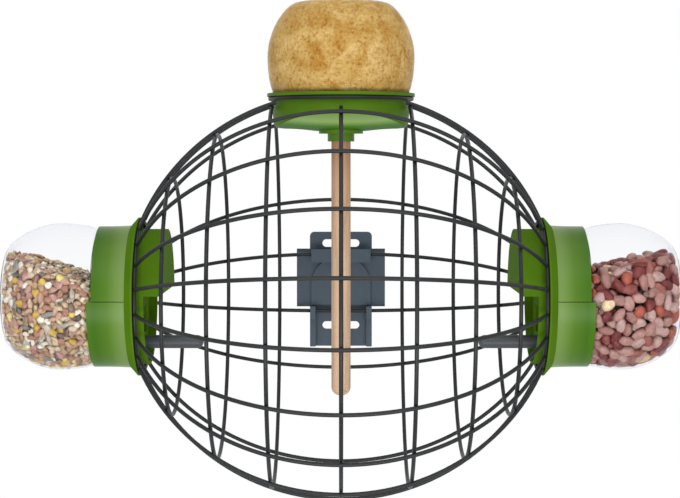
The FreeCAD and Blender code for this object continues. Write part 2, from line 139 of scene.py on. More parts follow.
# Kinds of seed as (name, share, half sizes in mm, taper, dent, colours, streak)
SEED_KINDS = (
    ("left_maize", 0.11, (3.3, 3.0, 2.3), -0.25, 0.1,
     ("#ccb25a", "#c2a44e", "#d4c27e", "#bd9c48"), 0.8),
    ("left_wheat", 0.32, (3.4, 2.1, 1.8), 0.1, 0.2,
     ("#bfa586", "#b39574", "#c6b194", "#a6886b"), 0.7),
    ("left_pale_bits", 0.22, (2.9, 2.4, 1.9), 0.05, 0.1,
     ("#dbd0bd", "#cdbb9f", "#e2dacc"), 0.75),
    ("left_striped", 0.07, (5.8, 2.5, 1.8), 0.3, 0.0,
     ("#a89f95", "#bbb1a4", "#90877f"), 0.5),
    ("left_dark_seed", 0.05, (3.3, 2.5, 1.9), 0.2, 0.0,
     ("#75655f", "#846f5d", "#685a57"), 0.6),
    ("left_nut_bits", 0.23, (3.7, 2.8, 2.2), 0.15, 0.15,
     ("#b38b78", "#a47763", "#bd9d87", "#b6917b", "#9e7462", "#b58a83"), 0.68),
)
SKINNED_CODES = ("#8d5148", "#a4776e", "#702a25", "#b18f88", "#94685f", "#6a231f",
                 "#a87f75", "#7c3a33", "#b7948b", "#9a4a37")
BARE_CODES = ("#cfb488", "#c4a473", "#d3be9a")

# Soft lamps as (name, place, width and height, watts), their aim, the camera and the floor
LAMPS = (
    ("strip_left", (-0.52, -1.38, 0.35), (0.16, 1.6), 1.7),
    ("strip_right", (0.52, -1.38, 0.35), (0.16, 1.6), 1.7),
    ("soft_key", (0.0, -1.3, 1.3), (1.4, 0.8), 6.0),
    ("soft_top", (0.1, -0.5, 1.6), (1.6, 1.2), 5.5),
    ("soft_low", (0.0, -1.05, -0.4), (1.2, 0.4), 8.0),
)
LAMP_AIM = (0.0, CAGE_Y, 0.03)
CAMERA_X = -0.00075
SENSOR_WIDTH = 36.0
FLOOR_R = 0.75
FLOOR_Z = -0.46
FLOOR_SIDES = 96


def linear(code):
    """Linear RGBA from an sRGB hex code."""
    value = np.array([int(code[i:i + 2], 16) for i in (1, 3, 5)]) / 255.0
    low = value / 12.92
    high = ((value + 0.055) / 1.055) ** 2.4
    return tuple(np.where(value <= 0.04045, low, high)) + (1.0,)


class FeederColours(bpy.types.PropertyGroup):
    """Colours of the finishes, as linear values."""

    wire: bpy.props.FloatVectorProperty(
        name="Wire", description="Powder coat on the cage wires",
        subtype="COLOR", size=4, default=linear("#17191b"))
    green: bpy.props.FloatVectorProperty(
        name="Holders", description="Moulded green of the holders",
        subtype="COLOR", size=4, default=linear("#4f7512"))
    slate: bpy.props.FloatVectorProperty(
        name="Bracket", description="Moulded slate of the wall bracket",
        subtype="COLOR", size=4, default=linear("#35434f"))
    perch: bpy.props.FloatVectorProperty(
        name="Side perch", description="Dark grey of the side perches",
        subtype="COLOR", size=4, default=linear("#45484b"))
    wood: bpy.props.FloatVectorProperty(
        name="Hanging perch", description="Plain wood of the hanging perch",
        subtype="COLOR", size=4, default=linear("#c1a184"))
    suet: bpy.props.FloatVectorProperty(
        name="Suet", description="Ground colour of the suet",
        subtype="COLOR", size=4, default=linear("#b79a5a"))


class FeederSizes(bpy.types.PropertyGroup):
    """Sizes of the loose food and of the view."""

    seed_spacing: bpy.props.FloatProperty(
        name="Seed spacing", description="Distance between seeds in a layer",
        unit="LENGTH", default=0.0052, min=0.003)
    nut_spacing: bpy.props.FloatProperty(
        name="Nut spacing", description="Distance between peanuts in a layer",
        unit="LENGTH", default=0.0094, min=0.005)
    left_fill: bpy.props.FloatVectorProperty(
        name="Left fill", description="Seed height at the neck and far end",
        unit="LENGTH", size=2, default=(0.010, 0.034))
    right_fill: bpy.props.FloatVectorProperty(
        name="Right fill", description="Nut height at the neck and far end",
        unit="LENGTH", size=2, default=(0.016, 0.036))
    distance: bpy.props.FloatProperty(
        name="Camera distance", description="From the lens to the cage's middle",
        unit="LENGTH", default=1.305, min=0.3)
    elevation: bpy.props.FloatProperty(
        name="Camera elevation", description="Angle above the cage's middle",
        subtype="ANGLE", default=math.radians(4.5))
    tilt: bpy.props.FloatProperty(
        name="Camera tilt", description="How far below level the lens points",
        subtype="ANGLE", default=math.radians(2.94))
    lens: bpy.props.FloatProperty(
        name="Focal length", description="On a 36 mm wide sensor",
        unit="CAMERA", default=92.12, min=10.0)


def add(tree, kind, values=None, links=None, **settings):
    """Adds one node with its settings, input values and links from (node, output) pairs."""
    made = tree.nodes.new(kind)
    for key, value in settings.items():
        setattr(made, key, value)
    for key, value in (values or {}).items():
        made.inputs[key].default_value = value
    for key, (source, output) in (links or {}).items():
        tree.links.new(source.outputs[output], made.inputs[key])
    return made


def new_material(name):
    """Empty node material and its output node."""
    made = bpy.data.materials.new(name)
    made.use_nodes = True
    made.node_tree.nodes.clear()
    output = made.node_tree.nodes.new("ShaderNodeOutputMaterial")
    return made, made.node_tree, output


def own_place(tree):
    """The piece's own coordinates, as a (node, output) pair."""
    return add(tree, "ShaderNodeTexCoord"), "Object"


def noise(tree, vector, scale, detail, roughness=0.5, distortion=0.0):
    """Noise texture over a (node, output) vector."""
    values = {"Scale": scale, "Detail": detail, "Roughness": roughness, "Distortion": distortion}
    return add(tree, "ShaderNodeTexNoise", values, {"Vector": vector})


def bumped(tree, source, strength, depth):
    """Bump from a noise texture, with its depth in metres."""
    values = {"Strength": strength, "Distance": depth}
    return add(tree, "ShaderNodeBump", values, {"Height": (source, "Fac")})


def multiplied(tree, first, second, factor):
    """One (node, output) colour multiplied by another, as far as the factor says."""
    return add(tree, "ShaderNodeMix", {"Factor": factor}, {"A": first, "B": second},
               data_type="RGBA", blend_type="MULTIPLY")


def principled(tree, output, values, links=None):
    """Principled shader on the material's surface."""
    shader = add(tree, "ShaderNodeBsdfPrincipled", values, links)
    tree.links.new(shader.outputs[0], output.inputs["Surface"])


def ramp(tree, source, output, stops):
    """Colour ramp over (position, colour) stops."""
    made = add(tree, "ShaderNodeValToRGB", links={"Fac": (source, output)})
    band = made.color_ramp
    band.elements[0].position, band.elements[0].color = stops[0]
    band.elements[1].position, band.elements[1].color = stops[-1]
    for position, colour in stops[1:-1]:
        band.elements.new(position).color = colour
    return made


def shade(colour, factor):
    """A colour made lighter or darker."""
    return tuple(c * factor for c in colour[:3]) + (1.0,)


def powder_coat(colour):
    """Powder coat on steel wire: a sprayed and baked film, so a fine orange-peel skin with a soft gloss."""
    made, tree, output = new_material("powder_coated_steel")
    place = own_place(tree)
    patch = noise(tree, place, scale=90.0, detail=3.0)
    tone = ramp(tree, patch, "Fac", [(0.3, shade(colour, 0.85)), (0.7, shade(colour, 1.25))])
    # Orange peel of about 1.2 mm, coarser than real so that it shows
    peel = noise(tree, place, scale=850.0, detail=2.0)
    gloss = add(tree, "ShaderNodeMapRange", {"To Min": 0.36, "To Max": 0.52}, {"Value": (patch, "Fac")})
    bump = bumped(tree, peel, strength=0.25, depth=0.0002)
    principled(tree, output, {"IOR": 1.5, "Specular IOR Level": 0.3},
               {"Base Color": (tone, "Color"), "Roughness": (gloss, "Result"), "Normal": (bump, "Normal")})
    return made


def moulded_plastic(name, colour, rough, shine, grain_mm, depth_mm, painted_highlight=None):
    """Injection-moulded polypropylene: even colour with faint flow marks and the mould's spark texture.

    A collar can take a painted highlight: its colour is pale next to the flange and deepens towards the
    jar's side.
    """
    made, tree, output = new_material(name)
    place = own_place(tree)
    flow = noise(tree, place, scale=22.0, detail=2.0, distortion=0.6)
    tone = ramp(tree, flow, "Fac", [(0.3, shade(colour, 0.92)), (0.7, shade(colour, 1.08))])
    face = (tone, "Color")
    # Painted highlight: a ramp along the collar's axis, pale next to the flange, mostly replaces the plain
    # green.
    if painted_highlight:
        apart = add(tree, "ShaderNodeSeparateXYZ", links={"Vector": place})
        out = add(tree, "ShaderNodeMath", links={0: (apart, "X")}, operation="ABSOLUTE")
        along = add(tree, "ShaderNodeMapRange", {"From Min": COLLAR_X[0], "From Max": COLLAR_X[1]},
                    {"Value": (out, 0)})
        highlight_fade = ramp(tree, along, "Result", painted_highlight)
        mixed = add(tree, "ShaderNodeMix", {"Factor": 0.15}, {"A": (highlight_fade, "Color"), "B": face},
                    data_type="RGBA")
        face = (mixed, "Result")
    spark = noise(tree, place, scale=MM_PER_M / grain_mm, detail=2.0)
    gloss = add(tree, "ShaderNodeMapRange", {"To Min": rough - 0.05, "To Max": rough + 0.07},
                {"Value": (spark, "Fac")})
    bump = bumped(tree, spark, strength=0.2, depth=depth_mm / MM_PER_M)
    principled(tree, output, {"IOR": 1.49, "Specular IOR Level": shine},
               {"Base Color": face, "Roughness": (gloss, "Result"), "Normal": (bump, "Normal")})
    return made


def cup_plastic(colour, painted_underside_stops):
    """Satin moulded polypropylene of the cup; its underside has painted shade at the middle and a painted
    highlight towards the rim.

    The painted light's stops run over the distance from the cage's middle plane, on faces that look down.
    """
    made = moulded_plastic("satin_cup_polypropylene", colour,
                           rough=0.45, shine=0.08, grain_mm=0.9, depth_mm=0.1)
    tree = made.node_tree
    shader = next(n for n in tree.nodes if n.type == "BSDF_PRINCIPLED")
    plain = shader.inputs["Base Color"].links[0].from_socket
    apart = add(tree, "ShaderNodeSeparateXYZ", links={"Vector": own_place(tree)})
    depth = add(tree, "ShaderNodeMath", {1: CAGE_Y}, {0: (apart, "Y")}, operation="SUBTRACT")
    away = add(tree, "ShaderNodeMath", links={0: (depth, "Value")}, operation="ABSOLUTE")
    reach = CAGE_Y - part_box("top_cup")[0][1]
    share = add(tree, "ShaderNodeMapRange", {"From Min": 0.0, "From Max": reach},
                {"Value": (away, "Value")})
    # Painted light: deep green where the underside is nearest the middle plane, pale towards the rim.
    painted_underside = ramp(tree, share, "Result", painted_underside_stops)
    surface = add(tree, "ShaderNodeNewGeometry")
    facing = add(tree, "ShaderNodeSeparateXYZ", links={"Vector": (surface, "Normal")})
    down = add(tree, "ShaderNodeMapRange", {"From Min": -0.35, "From Max": -0.75}, {"Value": (facing, "Z")})
    mixed = add(tree, "ShaderNodeMix", links={"Factor": (down, "Result"), "B": (painted_underside, "Color")},
                data_type="RGBA")
    tree.links.new(plain, mixed.inputs["A"])
    tree.links.new(mixed.outputs["Result"], shader.inputs["Base Color"])
    return made


def clear_pet():
    """Blow-moulded clear PET: a thin glossy wall with slow waves, grey-blue where it is seen edge on.

    Its index is lower than real PET's, which keeps dark lines off the rims.
    """
    made, tree, output = new_material("clear_blown_pet")
    wave = noise(tree, own_place(tree), scale=45.0, detail=1.0)
    bump = bumped(tree, wave, strength=0.12, depth=0.0008)
    principled(tree, output,
               {"Base Color": WHITE, "IOR": 1.06, "Roughness": 0.02, "Transmission Weight": 1.0},
               {"Normal": (bump, "Normal")})
    tint = add(tree, "ShaderNodeVolumeAbsorption", {"Color": linear("#8fa8d2"), "Density": 28.0})
    tree.links.new(tint.outputs[0], output.inputs["Volume"])
    return made


def beech(colour):
    """Turned beech dowel: pale straight grain along it with short darker pores, and painted shade that
    darkens and reddens its top under the cup.
    """
    made, tree, output = new_material("turned_beech")
    place = own_place(tree)
    along = add(tree, "ShaderNodeMapping", {"Scale": (420.0, 420.0, 22.0)}, {"Vector": place})
    grain = noise(tree, (along, "Vector"), scale=1.0, detail=4.0, roughness=0.6)
    fleck = add(tree, "ShaderNodeMapping", {"Scale": (1500.0, 1500.0, 190.0)}, {"Vector": place})
    pores = add(tree, "ShaderNodeTexVoronoi", {"Scale": 1.0}, {"Vector": (fleck, "Vector")})
    tone = ramp(tree, grain, "Fac",
                [(0.28, shade(colour, 0.7)), (0.5, colour), (0.75, shade(colour, 1.12))])
    dark = ramp(tree, pores, "Distance", [(0.05, shade(colour, 0.55)), (0.22, WHITE)])
    pored = multiplied(tree, (tone, "Color"), (dark, "Color"), factor=0.45)
    apart = add(tree, "ShaderNodeSeparateXYZ", links={"Vector": place})
    low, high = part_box("dowel")
    length = add(tree, "ShaderNodeMapRange", {"From Min": low[2], "From Max": high[2]},
                 {"Value": (apart, "Z")})
    # Painted shade: the top of the dowel, under the cup, is darkened and reddened.
    painted_top_shade = ramp(tree, length, "Result",
                 [(0.5, WHITE), (0.82, linear("#f5e8de")), (1.0, linear("#cdaea2"))])
    mixed = multiplied(tree, (pored, "Result"), (painted_top_shade, "Color"), factor=1.0)
    bump = bumped(tree, grain, strength=0.3, depth=0.0003)
    principled(tree, output, {"IOR": 1.45, "Roughness": 0.62},
               {"Base Color": (mixed, "Result"), "Normal": (bump, "Normal")})
    return made


def rendered_fat(colour):
    """Pressed suet with peanut flour: waxy golden fat in clouds of 15 mm, flecked with small skins."""
    made, tree, output = new_material("pressed_suet")
    place = own_place(tree)
    cloud = noise(tree, place, scale=65.0, detail=3.0, roughness=0.55, distortion=0.5)
    tone = ramp(tree, cloud, "Fac", [(0.32, linear("#a67d35")), (0.5, colour), (0.7, linear("#c8ad76"))])
    meal = noise(tree, place, scale=420.0, detail=3.0, roughness=0.7)
    grain = ramp(tree, meal, "Fac", [(0.3, linear("#b98d5e")), (0.48, linear("#efe4d2")), (0.7, WHITE)])
    skins = add(tree, "ShaderNodeTexVoronoi", {"Scale": 260.0}, {"Vector": place})
    skin = ramp(tree, skins, "Distance", [(0.1, linear("#8a5c38")), (0.25, WHITE)])
    mealy = multiplied(tree, (tone, "Color"), (grain, "Color"), factor=0.9)
    mixed = multiplied(tree, (mealy, "Result"), (skin, "Color"), factor=0.3)
    bump = bumped(tree, meal, strength=0.2, depth=0.0004)
    principled(tree, output, {"IOR": 1.46, "Roughness": 0.7, "Specular IOR Level": 0.2},
               {"Base Color": (mixed, "Result"), "Normal": (bump, "Normal")})
    return made


def husk(name, codes, streak, rough):
    """Dry seed skin: each seed takes one of the colours, with fine streaks along and across it."""
    made, tree, output = new_material(name)
    pick = add(tree, "ShaderNodeAttribute", attribute_name="tone")
    count = len(codes)
    tone = ramp(tree, pick, "Fac", [(k / count, linear(code)) for k, code in enumerate(codes)])
    tone.color_ramp.interpolation = "CONSTANT"
    mottle = noise(tree, own_place(tree), scale=420.0, detail=3.0, distortion=0.8)
    marks = ramp(tree, mottle, "Fac", [(0.35, (streak, streak, streak, 1.0)), (0.62, WHITE)])
    mixed = multiplied(tree, (tone, "Color"), (marks, "Color"), factor=0.9)
    bump = bumped(tree, mottle, strength=0.35, depth=0.0005)
    principled(tree, output, {"IOR": 1.45, "Roughness": rough},
               {"Base Color": (mixed, "Result"), "Normal": (bump, "Normal")})
    return made


def paint(names, material):
    """Gives CAD nodes one material."""
    for name in names:
        node = NODES[name]
        node.data.materials.clear()
        node.data.materials.append(material)


def circle(count):
    """Angles of evenly spaced points round a circle."""
    return 2 * np.pi * np.arange(count) / count


def run_along(line):
    """Distance run along a line of points, at each point."""
    return np.concatenate([[0.0], np.cumsum(np.hypot(*np.diff(line, axis=0).T))])


def jar_radius(h):
    """Radius of the jar's inner wall at a distance h from the rim."""
    return np.interp(h, JAR_INSIDE[:, 0], JAR_INSIDE[:, 1])


def in_frame(points, side):
    """Points (h along the side jar's axis, y and z from that axis) in the shared frame."""
    return np.stack([side * (JAR_RIM_X + points[:, 0]), CAGE_Y + points[:, 1], points[:, 2]], -1)


def closed_grid(rows, cols):
    """Faces of a grid that closes round its columns and runs to a pole at each end.

    Vertex 0 is the first pole, then rows of cols vertices, then the last pole.
    """
    r, c = np.meshgrid(np.arange(rows - 1), np.arange(cols), indexing="ij")
    a = 1 + r * cols + c
    b = 1 + r * cols + (c + 1) % cols
    quads = np.stack([a, b, b + cols, a + cols], -1).reshape(-1, 4)
    ring = np.arange(cols)
    nxt = (ring + 1) % cols
    last = 1 + rows * cols
    first_fan = np.stack([np.zeros(cols, int), 1 + nxt, 1 + ring], -1)
    base = 1 + (rows - 1) * cols
    last_fan = np.stack([np.full(cols, last), base + ring, base + nxt], -1)
    return quads, np.concatenate([first_fan, last_fan])


def put_mesh(name, vertices, quads, tris, material, body, tone=None):
    """Makes a piece from whole arrays of vertices, quads and triangles, and hangs it on a body."""
    mesh = bpy.data.meshes.new(name)
    mesh.vertices.add(len(vertices))
    mesh.vertices.foreach_set("co", vertices.astype(np.float32).ravel())
    loops = np.concatenate([quads.ravel(), tris.ravel()])
    sizes = np.concatenate([np.full(len(quads), 4), np.full(len(tris), 3)])
    mesh.loops.add(len(loops))
    mesh.loops.foreach_set("vertex_index", loops.astype(np.int32))
    mesh.polygons.add(len(sizes))
    starts = np.concatenate([[0], np.cumsum(sizes)[:-1]])
    mesh.polygons.foreach_set("loop_start", starts.astype(np.int32))
    mesh.polygons.foreach_set("loop_total", sizes.astype(np.int32))
    mesh.polygons.foreach_set("use_smooth", np.ones(len(sizes), bool))
    if tone is not None:
        layer = mesh.attributes.new("tone", "FLOAT", "POINT")
        layer.data.foreach_set("value", tone.astype(np.float32))
    mesh.update(calc_edges=True)
    if mesh.validate():
        raise RuntimeError("faulty mesh: " + name)
    mesh.materials.append(material)
    piece = bpy.data.objects.new(name, mesh)
    bpy.context.scene.collection.objects.link(piece)
    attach(piece, body)
    return piece


def kernels(places, halves, taper, dent, lumps, rows, cols):
    """One kernel at each place, as arrays.

    A kernel is an egg: along u from 0 to pi its axis runs as cos u and its girth as
    sin u, pulled to a point at one end by taper, with a groove of depth dent along one side.
    Every vertex is then pushed in or out by its own share in lumps.
    """
    centres, along, across, up = places
    u = np.pi * (np.arange(rows) + 1) / (rows + 1)
    v = circle(cols)
    girth = np.sin(u) * (1 - taper * np.cos(u))
    groove = 1 - dent * np.exp(-((v - np.pi / 2) / GROOVE_WIDTH) ** 2)
    x = np.concatenate([[1.0], np.repeat(np.cos(u), cols), [-1.0]])
    y = np.concatenate([[0.0], (girth[:, None] * np.cos(v) * groove).ravel(), [0.0]])
    z = np.concatenate([[0.0], (girth[:, None] * np.sin(v) * groove).ravel(), [0.0]])
    local = np.stack([x, y, z], -1)
    push = 1.0 + lumps[:, :len(local), None]
    scaled = local[None] * halves[:, None] * push
    frames = np.stack([along, across, up], 1)
    points = centres[:, None] + np.einsum("nvk,nkd->nvd", scaled, frames)
    quads, tris = closed_grid(rows, cols)
    shift = (np.arange(len(centres)) * len(local))[:, None, None]
    all_quads = (quads[None] + shift).reshape(-1, 4)
    all_tris = (tris[None] + shift).reshape(-1, 3)
    return points.reshape(-1, 3), all_quads, all_tris, len(local)


def press_to_wall(points, side):
    """Food pressed flat on the jar: no point lies beyond the middle of the jar's wall or end.

    With h along the axis from the rim and r from the axis, h is held to the end's distance and
    r to the wall's radius at h. In the neck the food stays just clear of the wall.
    """
    h = side * points[:, 0] - JAR_RIM_X
    h = np.minimum(h, JAR_END_H + FOOD_WET)
    y = points[:, 1] - CAGE_Y
    z = points[:, 2]
    r = np.maximum(np.hypot(y, z), LEAST_R)
    wet = np.where(h > WET_FROM_H, FOOD_WET, -NECK_CLEAR)
    hold = np.minimum(1.0, (jar_radius(h) + wet) / r)
    return in_frame(np.stack([h, y * hold, z * hold], -1), side)


def frames_at(centres, normals, rng):
    """Frames whose third axis is the surface normal, turned at random about it and tipped a little."""
    helper = np.where(np.abs(normals[:, :1]) > 0.8, [[0.0, 1.0, 0.0]], [[1.0, 0.0, 0.0]])
    first = np.cross(helper, normals)
    first /= np.linalg.norm(first, axis=1, keepdims=True)
    second = np.cross(normals, first)
    turn = rng.uniform(0, 2 * np.pi, len(centres))[:, None]
    along = first * np.cos(turn) + second * np.sin(turn)
    tip = rng.normal(0, TIP_STRAY, len(centres))[:, None]
    along = along + normals * tip
    along /= np.linalg.norm(along, axis=1, keepdims=True)
    across = np.cross(normals, along)
    across /= np.linalg.norm(across, axis=1, keepdims=True)
    return centres, along, across, np.cross(along, across)


def sill_level(foot, near):
    """Height of the food from the sill (foot 0) up to the slope's foot (foot 1)."""
    return SILL_Z + (near - SILL_Z) * foot


def slope_level(h, fill):
    """Height of the food in the jar, a straight line over h."""
    near, far = fill
    return near + (far - near) * (h + SLOPE_LEAD) / SLOPE_RUN


def wall_layer(spacing, inset, rng):
    """Food on the jar's wall: points (h(s), r(s) cos t, r(s) sin t) and their outward normals.

    Rows lie a share of the spacing apart along the profile's run s and points a spacing apart round t,
    each moved in by the inset along the profile's normal (-dr/ds, dh/ds).
    """
    run = run_along(JAR_INSIDE)
    start = np.interp(WALL_START_H, JAR_INSIDE[:, 0], run)
    s_rows = np.arange(start, run[-1], spacing * WALL_PACK)
    turns = np.arange(0, 2 * np.pi, spacing / JAR_MEAN_R)
    s, t = np.meshgrid(s_rows, turns, indexing="ij")
    t = t + (np.arange(len(s_rows)) % 2)[:, None] * spacing / (2 * JAR_MEAN_R)
    s = s + rng.normal(0, spacing * WALL_STRAY, s.shape)
    t = t + rng.normal(0, WALL_STRAY * spacing / JAR_MEAN_R, t.shape)
    rise = np.interp(s, run, np.gradient(JAR_INSIDE[:, 0], run))
    swell = np.interp(s, run, np.gradient(JAR_INSIDE[:, 1], run))
    h = np.interp(s, run, JAR_INSIDE[:, 0]) + inset * swell
    r = np.interp(s, run, JAR_INSIDE[:, 1]) - inset * rise
    keep = rng.uniform(0, 1, s.shape) < np.clip(r / JAR_MEAN_R, 0, 1)
    points = np.stack([h, r * np.cos(t), r * np.sin(t)], -1)[keep]
    normals = np.stack([-swell, rise * np.cos(t), rise * np.sin(t)], -1)[keep]
    return points, normals


def end_layer(grid, spacing, inset, rng):
    """Food on the jar's flat end: a jittered grid of points and their normals."""
    y, z = np.meshgrid(grid, grid, indexing="ij")
    y = y + rng.normal(0, spacing * GRID_STRAY, y.shape)
    z = z + rng.normal(0, spacing * GRID_STRAY, z.shape)
    inside = np.hypot(y, z) < JAR_END_R
    points = np.stack([np.full(y.shape, JAR_END_H - inset), y, z], -1)[inside]
    return points, np.tile([1.0, 0.0, 0.0], (len(points), 1))


def slope_layer(grid, fill, spacing, inset, rng):
    """Food on the open slope in the jar: a jittered grid of points and their normals."""
    rows = np.arange(SLOPE_FOOT_X - JAR_RIM_X, JAR_END_H, spacing * SLOPE_PACK)
    h, y = np.meshgrid(rows, grid, indexing="ij")
    h = h + rng.normal(0, spacing * GRID_STRAY, h.shape)
    z = slope_level(h, fill) - inset * SLOPE_SINK + rng.normal(0, spacing * HEIGHT_STRAY, h.shape)
    inside = np.hypot(y, z) < jar_radius(h) - inset
    points = np.stack([h, y, z], -1)[inside]
    return points, np.tile(SLOPE_NORMAL, (len(points), 1))


def sill_layer(grid, near, spacing, inset, rng):
    """Food on the slope up from the sill: a jittered grid of points and their normals."""
    rows = np.arange(TRAY_X, SLOPE_FOOT_X, spacing * SILL_PACK)
    x, y = np.meshgrid(rows, grid, indexing="ij")
    x = x + rng.normal(0, spacing * GRID_STRAY, x.shape)
    x = np.maximum(x, TRAY_X + inset)
    z = sill_level((x - TRAY_X) / (SLOPE_FOOT_X - TRAY_X), near) - inset
    inside = np.hypot(y, z) < MOUTH_R - inset
    points = np.stack([x - JAR_RIM_X, y, z], -1)[inside]
    return points, np.tile(SILL_NORMAL, (len(points), 1))


def heap_places(side, fill, spacing, inset, rng):
    """Centres and outward normals of one layer of food on the jar's wall, its end, and the open slopes.

    On the wall and the end only the places below the slope are kept.
    """
    near, far = fill
    grid = np.arange(-JAR_MEAN_R, JAR_MEAN_R, spacing * GRID_PACK)
    wall, wall_n = wall_layer(spacing, inset, rng)
    end, end_n = end_layer(grid, spacing, inset, rng)
    top, top_n = slope_layer(grid, fill, spacing, inset, rng)
    low, low_n = sill_layer(grid, near, spacing, inset, rng)
    wall_below = wall[:, 2] < slope_level(wall[:, 0], fill) - inset
    end_below = end[:, 2] < far - inset
    points = np.concatenate([wall[wall_below], end[end_below], top, low])
    normals = np.concatenate([wall_n[wall_below], end_n[end_below], top_n, low_n])
    normals = normals * np.array([side, 1.0, 1.0])
    normals /= np.linalg.norm(normals, axis=1, keepdims=True)
    return in_frame(points, side), normals


def two_layers(side, fill, spacings, insets, rng):
    """Centres and normals of the layer on the wall and of the one behind it."""
    layers = [heap_places(side, fill, spacing, inset, rng) for spacing, inset in zip(spacings, insets)]
    return [np.concatenate(part) for part in zip(*layers)]


def loose_kernels(points, normals, half_mm, taper, dent, rng, spread, lump, draws, rows, cols):
    """Vertices, quads, triangles and tones of kernels of one kind at the given places."""
    count = len(points)
    halves = np.array(half_mm) / MM_PER_M * rng.uniform(*spread, (count, 3))
    places = frames_at(points, normals, rng)
    lumps = rng.normal(0, lump, (count, draws))
    vertices, quads, tris, each = kernels(places, halves, taper, dent, lumps, rows, cols)
    tone = np.repeat(rng.uniform(0, TONE_TOP, count), each)
    return vertices, quads, tris, tone


def heap_core(name, side, fill, inset, material, body, stands_for):
    """Inside of the heap, in a dark material that stands for painted shade between the kernels: the jar's
    inner surface moved in, its top pressed down to the slopes.

    A point is (h, r(h) cos t, min(r(h) sin t, level(h))) for h along the axis and t round it.
    """
    h = np.linspace(TRAY_X + inset - JAR_RIM_X, JAR_END_H - inset, CORE_ROWS)
    t = circle(CORE_COLS)
    r = jar_radius(h) - inset
    foot = np.clip((h + JAR_RIM_X - TRAY_X) / (SLOPE_FOOT_X - TRAY_X), 0, 1)
    level = np.where(foot < 1, sill_level(foot, fill[0]), slope_level(h, fill)) - inset
    z = np.minimum(r[:, None] * np.sin(t), level[:, None])
    grid = np.stack([np.repeat(h[:, None], len(t), 1), r[:, None] * np.cos(t), z], -1).reshape(-1, 3)
    ends = np.array([[h[0], 0.0, min(CORE_POLE_Z, level[0])], [h[-1], 0.0, 0.0]])
    points = in_frame(np.concatenate([ends[:1], grid, ends[1:]]), side)
    quads, tris = closed_grid(len(h), len(t))
    if side > 0:
        quads, tris = quads[:, ::-1], tris[:, ::-1]
    piece = put_mesh(name, points, quads, tris, material, body)
    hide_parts(stands_for)


def suet_block(material):
    """Suet that fills the top jar and wets its wall.

    A surface of revolution about the jar's axis: the jar's inner line moved out by FOOD_WET and
    turned round, a point being (r cos t, r sin t, h), closed flat at both ends.
    """
    line = JAR_INSIDE[1:] + np.array([0.0, FOOD_WET])
    line = np.concatenate([[SUET_START, SUET_NECK], line[1:]])
    line[-1, 0] += FOOD_WET
    run = run_along(line)
    fine = np.linspace(0, 1, SUET_ROWS) * run[-1]
    h = np.interp(fine, run, line[:, 0])
    r = np.interp(fine, run, line[:, 1])
    t = circle(SUET_COLS)
    ring = np.stack([r[:, None] * np.cos(t), CAGE_Y + r[:, None] * np.sin(t),
                     np.repeat(JAR_RIM_Z + h[:, None], len(t), 1)], -1).reshape(-1, 3)
    ends = np.array([[0.0, CAGE_Y, JAR_RIM_Z + h[0]], [0.0, CAGE_Y, JAR_RIM_Z + h[-1]]])
    points = np.concatenate([ends[:1], ring, ends[1:]])
    quads, tris = closed_grid(len(h), len(t))
    piece = put_mesh("suet_block", points, quads, tris, material, "top_jar")
    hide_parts("suet")


class OBJECT_OT_feeder_cage(bpy.types.Operator):
    """Coats the cage's wires, hoops and rings"""

    bl_idname = "object.feeder_cage"
    bl_label = "Cage"

    def execute(self, context):
        coat = powder_coat(tuple(context.scene.feeder_colours.wire))
        paint([n for n in NODES if n.startswith(("wire_", "hoop_", "ring_"))], coat)
        return {"FINISHED"}


class OBJECT_OT_feeder_holders(bpy.types.Operator):
    """Finishes the green cup, socket, flanges, collars, hoods and trays"""

    bl_idname = "object.feeder_holders"
    bl_label = "Green holders"

    def execute(self, context):
        colour = tuple(context.scene.feeder_colours.green)
        # Painted highlight on the collars: pale next to the flange, deep green towards the jar
        painted_highlight = [(0.0, linear("#6b8548")), (0.12, linear("#698344")), (0.45, linear("#476a1b")),
                 (0.8, linear("#325a08")), (1.0, linear("#3a6409"))]
        # Painted light on the cup's underside: painted shade at the middle, a painted highlight towards the
        # rim
        painted_underside_stops = [(0.3, linear("#2f5f0c")), (0.46, linear("#487a1a")), (0.64, linear("#8ba765")),
                       (0.9, linear("#6f9442"))]
        collar = moulded_plastic("satin_collar_polypropylene", colour,
                                 rough=0.3, shine=0.15, grain_mm=0.9, depth_mm=0.1, painted_highlight=painted_highlight)
        satin = moulded_plastic("satin_green_polypropylene", shade(colour, 0.92),
                                rough=0.3, shine=0.2, grain_mm=0.9, depth_mm=0.1)
        matt = moulded_plastic("matt_green_polypropylene", shade(colour, 0.88),
                               rough=0.72, shine=0.03, grain_mm=0.9, depth_mm=0.2)
        paint([n for n in NODES if n.endswith(("_shell_upper", "_shell_lower"))], collar)
        paint(["top_cup"], cup_plastic(shade(colour, 0.85), painted_underside_stops))
        paint(["top_socket"], satin)
        paint([n for n in NODES if n.endswith(("_flange", "_hood", "_tray"))], matt)
        return {"FINISHED"}


class OBJECT_OT_feeder_bracket(bpy.types.Operator):
    """Finishes the wall bracket"""

    bl_idname = "object.feeder_bracket"
    bl_label = "Wall bracket"

    def execute(self, context):
        slate = moulded_plastic("moulded_slate_polypropylene", tuple(context.scene.feeder_colours.slate),
                                rough=0.5, shine=0.4, grain_mm=1.1, depth_mm=0.2)
        paint(["wall_bracket"], slate)
        return {"FINISHED"}


class OBJECT_OT_feeder_perches(bpy.types.Operator):
    """Finishes the side perches and the hanging perch"""

    bl_idname = "object.feeder_perches"
    bl_label = "Perches"

    def execute(self, context):
        colours = context.scene.feeder_colours
        dark = moulded_plastic("moulded_dark_polypropylene", tuple(colours.perch),
                               rough=0.38, shine=0.3, grain_mm=1.0, depth_mm=0.2)
        paint(["left_perch", "right_perch"], dark)
        paint(["dowel"], beech(tuple(colours.wood)))
        return {"FINISHED"}


